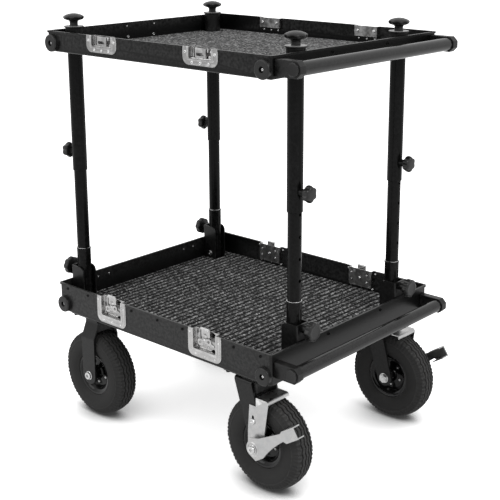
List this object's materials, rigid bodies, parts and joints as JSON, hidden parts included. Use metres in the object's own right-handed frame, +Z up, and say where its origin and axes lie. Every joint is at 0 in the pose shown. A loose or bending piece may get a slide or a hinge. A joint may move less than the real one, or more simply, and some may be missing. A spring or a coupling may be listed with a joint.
{
  "type": "camera cart",
  "caption": "Two-tray utility cart: carpeted trays on telescoping posts, push handles, latches, and pneumatic wheels, fixed at one end and swivelling with foot brakes at the other.",
  "frame": {"origin": "on the ground, in the middle of the overall length and width", "axes": "+X towards the end with the push handles and the swivel casters, +Y to the cart's left when looking along +X, +Z up"},
  "size_m": [0.8672, 0.651, 1.0863],
  "materials": {
    "powder_coat": "satin black powder coat",
    "tube_coat": "satin black",
    "plastic": "moulded, satin black",
    "carpet": "ribbed and looped carpet with grey flecks",
    "tyre_rubber": "matt black rubber",
    "rim_gloss": "gloss black",
    "zinc": "zinc plated"
  },
  "bodies": {
    "lower_body": {"lower_tray": "powder_coat", "lower_deck": "carpet", "post_bracket_front_left": "powder_coat", "lower_post_front_left": "tube_coat", "post_bracket_rear_left": "powder_coat", "lower_post_rear_left": "tube_coat", "post_bracket_front_right": "powder_coat", "lower_post_front_right": "tube_coat", "post_bracket_rear_right": "powder_coat", "lower_post_rear_right": "tube_coat", "lower_handle_bar": "tube_coat", "lower_handle_arm_front": "powder_coat", "lower_handle_arm_rear": "powder_coat", "rigid_fork_front": "powder_coat", "swivel_plate_front": "powder_coat", "rigid_fork_rear": "powder_coat", "swivel_plate_rear": "powder_coat", "axle_front_left": "zinc", "axle_rear_left": "zinc"},
    "shelf": {"upper_tray": "powder_coat", "upper_deck": "carpet", "upper_post_front_left": "tube_coat", "upper_post_rear_left": "tube_coat", "upper_post_front_right": "tube_coat", "upper_post_rear_right": "tube_coat", "upper_handle_bar": "tube_coat", "upper_handle_arm_front": "powder_coat", "upper_handle_arm_rear": "powder_coat"},
    "clamp_knob_front_left": {"clamp_knob_front_left": "plastic"},
    "height_knob_front_left": {"height_knob_front_left": "plastic"},
    "top_knob_front_left": {"top_knob_front_left": "plastic"},
    "clamp_knob_rear_left": {"clamp_knob_rear_left": "plastic"},
    "height_knob_rear_left": {"height_knob_rear_left": "plastic"},
    "top_knob_rear_left": {"top_knob_rear_left": "plastic"},
    "clamp_knob_front_right": {"clamp_knob_front_right": "plastic"},
    "height_knob_front_right": {"height_knob_front_right": "plastic"},
    "top_knob_front_right": {"top_knob_front_right": "plastic"},
    "clamp_knob_rear_right": {"clamp_knob_rear_right": "plastic"},
    "height_knob_rear_right": {"height_knob_rear_right": "plastic"},
    "top_knob_rear_right": {"top_knob_rear_right": "plastic"},
    "latch_wing_front_left": {"latch_wing_front_left": "zinc"},
    "latch_wing_rear_left": {"latch_wing_rear_left": "zinc"},
    "latch_wing_front_right": {"latch_wing_front_right": "zinc"},
    "latch_wing_rear_right": {"latch_wing_rear_right": "zinc"},
    "wheel_front_left": {"rim_front_left": "rim_gloss", "tyre_front_left": "tyre_rubber"},
    "caster_front": {"swivel_fork_front": "powder_coat", "axle_front_right": "zinc"},
    "wheel_front_right": {"rim_front_right": "rim_gloss", "tyre_front_right": "tyre_rubber"},
    "brake_lever_front": {"brake_lever_front": "zinc"},
    "brake_shoe_front": {"brake_shoe_front": "zinc"},
    "wheel_rear_left": {"rim_rear_left": "rim_gloss", "tyre_rear_left": "tyre_rubber"},
    "caster_rear": {"swivel_fork_rear": "powder_coat", "axle_rear_right": "zinc"},
    "wheel_rear_right": {"rim_rear_right": "rim_gloss", "tyre_rear_right": "tyre_rubber"},
    "brake_lever_rear": {"brake_lever_rear": "zinc"},
    "brake_shoe_rear": {"brake_shoe_rear": "zinc"}
  },
  "joints": [
    {"name": "shelf_height", "type": "slide", "parent": "lower_body", "child": "shelf", "axis": [0, 0, 1], "range_m": [-0.212, 0.053]},
    {"name": "clamp_knob_front_left_turn", "type": "hinge", "parent": "lower_body", "child": "clamp_knob_front_left", "pos_m": [-0.41257, -0.2545, 0.398], "axis": [-1, 0, 0], "continuous": true},
    {"name": "height_knob_front_left_turn", "type": "hinge", "parent": "shelf", "child": "height_knob_front_left", "pos_m": [-0.39937, -0.2545, 0.724], "axis": [-1, 0, 0], "continuous": true},
    {"name": "top_knob_front_left_turn", "type": "hinge", "parent": "shelf", "child": "top_knob_front_left", "pos_m": [-0.36907, -0.2545, 1.0493], "axis": [0, 0, 1], "continuous": true},
    {"name": "clamp_knob_rear_left_turn", "type": "hinge", "parent": "lower_body", "child": "clamp_knob_rear_left", "pos_m": [-0.41257, 0.2545, 0.398], "axis": [-1, 0, 0], "continuous": true},
    {"name": "height_knob_rear_left_turn", "type": "hinge", "parent": "shelf", "child": "height_knob_rear_left", "pos_m": [-0.39937, 0.2545, 0.724], "axis": [-1, 0, 0], "continuous": true},
    {"name": "top_knob_rear_left_turn", "type": "hinge", "parent": "shelf", "child": "top_knob_rear_left", "pos_m": [-0.36907, 0.2545, 1.0493], "axis": [0, 0, 1], "continuous": true},
    {"name": "clamp_knob_front_right_turn", "type": "hinge", "parent": "lower_body", "child": "clamp_knob_front_right", "pos_m": [0.36643, -0.1975, 0.398], "axis": [1, 0, 0], "continuous": true},
    {"name": "height_knob_front_right_turn", "type": "hinge", "parent": "shelf", "child": "height_knob_front_right", "pos_m": [0.35323, -0.1975, 0.724], "axis": [1, 0, 0], "continuous": true},
    {"name": "top_knob_front_right_turn", "type": "hinge", "parent": "shelf", "child": "top_knob_front_right", "pos_m": [0.32293, -0.1975, 1.0493], "axis": [0, 0, 1], "continuous": true},
    {"name": "clamp_knob_rear_right_turn", "type": "hinge", "parent": "lower_body", "child": "clamp_knob_rear_right", "pos_m": [0.36643, 0.1975, 0.398], "axis": [1, 0, 0], "continuous": true},
    {"name": "height_knob_rear_right_turn", "type": "hinge", "parent": "shelf", "child": "height_knob_rear_right", "pos_m": [0.35323, 0.1975, 0.724], "axis": [1, 0, 0], "continuous": true},
    {"name": "top_knob_rear_right_turn", "type": "hinge", "parent": "shelf", "child": "top_knob_rear_right", "pos_m": [0.32293, 0.1975, 1.0493], "axis": [0, 0, 1], "continuous": true},
    {"name": "latch_wing_front_left_turn", "type": "hinge", "parent": "lower_body", "child": "latch_wing_front_left", "pos_m": [-0.19107, -0.3155, 0.3455], "axis": [0, -1, 0], "range_deg": [0, 180]},
    {"name": "latch_wing_rear_left_turn", "type": "hinge", "parent": "lower_body", "child": "latch_wing_rear_left", "pos_m": [-0.19107, 0.3155, 0.3455], "axis": [0, 1, 0], "range_deg": [0, 180]},
    {"name": "latch_wing_front_right_turn", "type": "hinge", "parent": "lower_body", "child": "latch_wing_front_right", "pos_m": [0.14493, -0.3155, 0.3455], "axis": [0, -1, 0], "range_deg": [0, 180]},
    {"name": "latch_wing_rear_right_turn", "type": "hinge", "parent": "lower_body", "child": "latch_wing_rear_right", "pos_m": [0.14493, 0.3155, 0.3455], "axis": [0, 1, 0], "range_deg": [0, 180]},
    {"name": "wheel_front_left_spin", "type": "hinge", "parent": "lower_body", "child": "wheel_front_left", "pos_m": [-0.31407, -0.257, 0.118], "axis": [0, 1, 0], "continuous": true},
    {"name": "caster_front_swivel", "type": "hinge", "parent": "lower_body", "child": "caster_front", "pos_m": [0.24993, -0.257, 0.2774], "axis": [0, 0, 1], "continuous": true},
    {"name": "wheel_front_right_spin", "type": "hinge", "parent": "caster_front", "child": "wheel_front_right", "pos_m": [0.29793, -0.257, 0.118], "axis": [0, 1, 0], "continuous": true},
    {"name": "brake_front_press", "type": "hinge", "parent": "caster_front", "child": "brake_lever_front", "pos_m": [0.29793, -0.257, 0.118], "axis": [0, 1, 0], "range_deg": [0, 15]},
    {"name": "brake_front_shoe", "type": "slide", "parent": "caster_front", "child": "brake_shoe_front", "axis": [0, 0, 1], "range_m": [-0.0027, 0]},
    {"name": "wheel_rear_left_spin", "type": "hinge", "parent": "lower_body", "child": "wheel_rear_left", "pos_m": [-0.31407, 0.257, 0.118], "axis": [0, 1, 0], "continuous": true},
    {"name": "caster_rear_swivel", "type": "hinge", "parent": "lower_body", "child": "caster_rear", "pos_m": [0.24993, 0.257, 0.2774], "axis": [0, 0, 1], "continuous": true},
    {"name": "wheel_rear_right_spin", "type": "hinge", "parent": "caster_rear", "child": "wheel_rear_right", "pos_m": [0.29793, 0.257, 0.118], "axis": [0, 1, 0], "continuous": true},
    {"name": "brake_rear_press", "type": "hinge", "parent": "caster_rear", "child": "brake_lever_rear", "pos_m": [0.29793, 0.257, 0.118], "axis": [0, 1, 0], "range_deg": [0, 15]},
    {"name": "brake_rear_shoe", "type": "slide", "parent": "caster_rear", "child": "brake_shoe_rear", "axis": [0, 0, 1], "range_m": [-0.0027, 0]}
  ],
  "couplings": [
    {"joint": "brake_front_shoe", "follows": "brake_front_press", "m_per_rad": -0.0103},
    {"joint": "brake_rear_shoe", "follows": "brake_rear_press", "m_per_rad": -0.0103}
  ]
}
